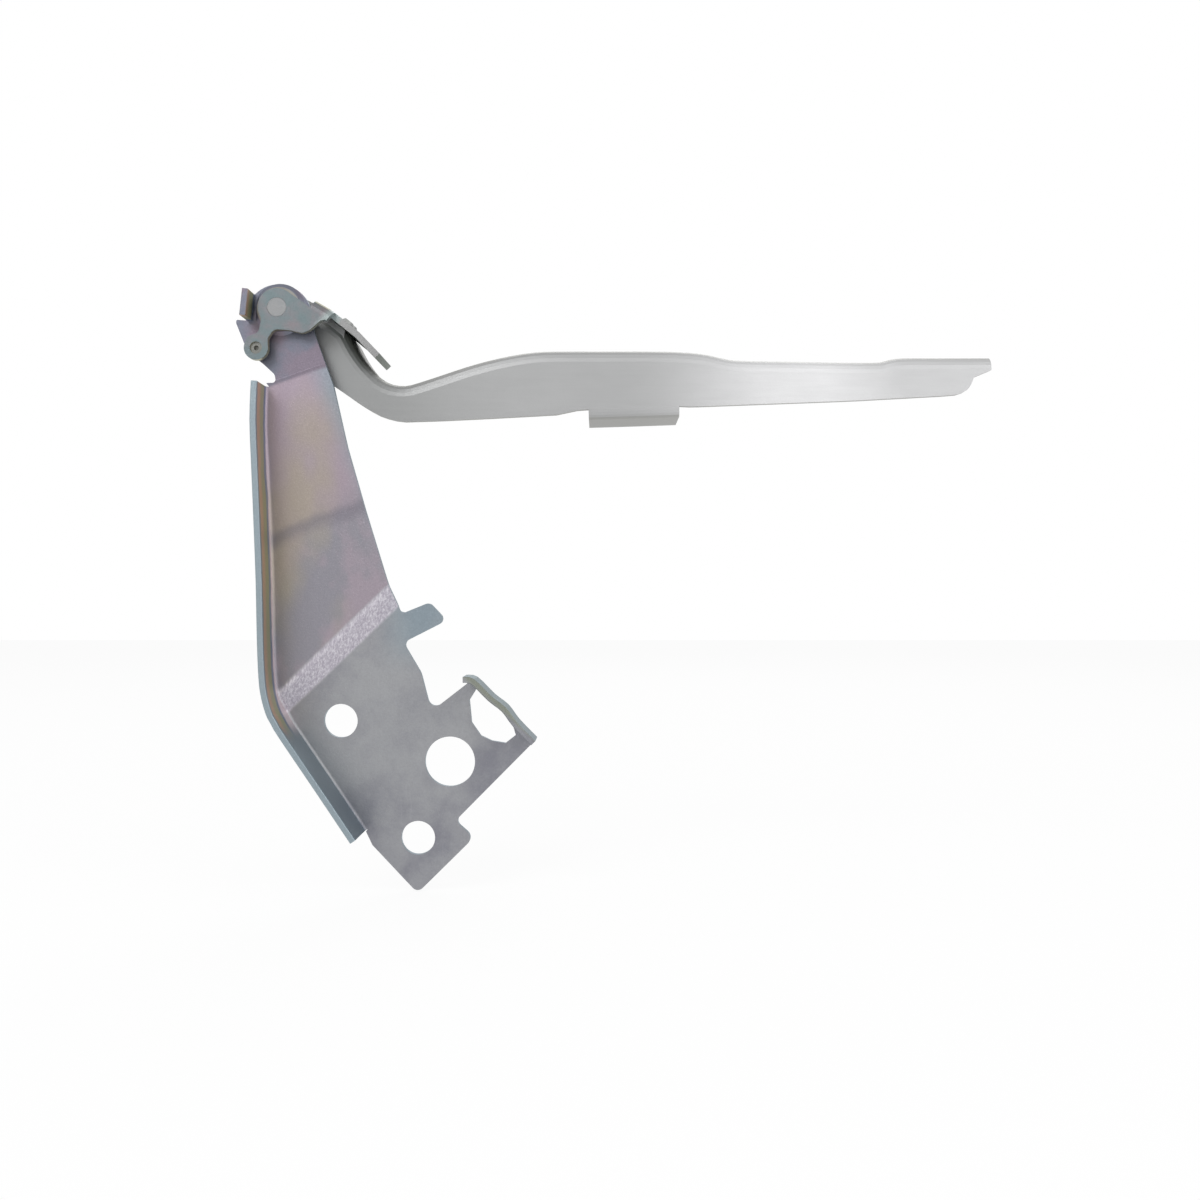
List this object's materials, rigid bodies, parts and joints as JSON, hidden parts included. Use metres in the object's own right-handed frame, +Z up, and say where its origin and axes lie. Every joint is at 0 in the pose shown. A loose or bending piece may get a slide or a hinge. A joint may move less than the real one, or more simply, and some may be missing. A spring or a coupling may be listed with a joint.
{
  "type": "bonnet hinge",
  "caption": "Pressed-steel bonnet hinge: a joggled body bracket with a turned side flange, and a long flanged arm riveted through a link plate to one pivot.",
  "frame": {"origin": "midway between the two body bolt holes, on the face that meets the car body", "axes": "+X along the bonnet arm away from the pivot, +Y out of the mounting face into the body, +Z up"},
  "size_m": [0.2993, 0.0454, 0.2405],
  "materials": {
    "passivated_zinc": "zinc plated, clear to rainbow passivated, fine grain",
    "bush_bronze": "plain bronze",
    "washer_steel": "zinc plated",
    "spacer_steel": "zinc plated",
    "pin_steel": "cold-headed, dull",
    "link_zinc": "zinc plated, green-tinted passivation",
    "rivet_dark": "dull",
    "rivet_steel": "bright, formed",
    "arm_zinc": "zinc plated, satin"
  },
  "bodies": {
    "bracket": {"body_bracket": "passivated_zinc", "pivot_bush": "bush_bronze", "front_washer": "washer_steel"},
    "arm": {"bonnet_arm": "arm_zinc", "link_plate": "link_zinc", "pivot_pin": "pin_steel", "rear_spacer": "spacer_steel", "stop_rivet": "rivet_dark", "link_rivets": "rivet_steel"}
  },
  "joints": [
    {"name": "bonnet_pivot", "type": "hinge", "parent": "bracket", "child": "arm", "pos_m": [-0.0378, 0, 0.1859], "axis": [0, 1, 0], "range_deg": [-15, 30]}
  ]
}
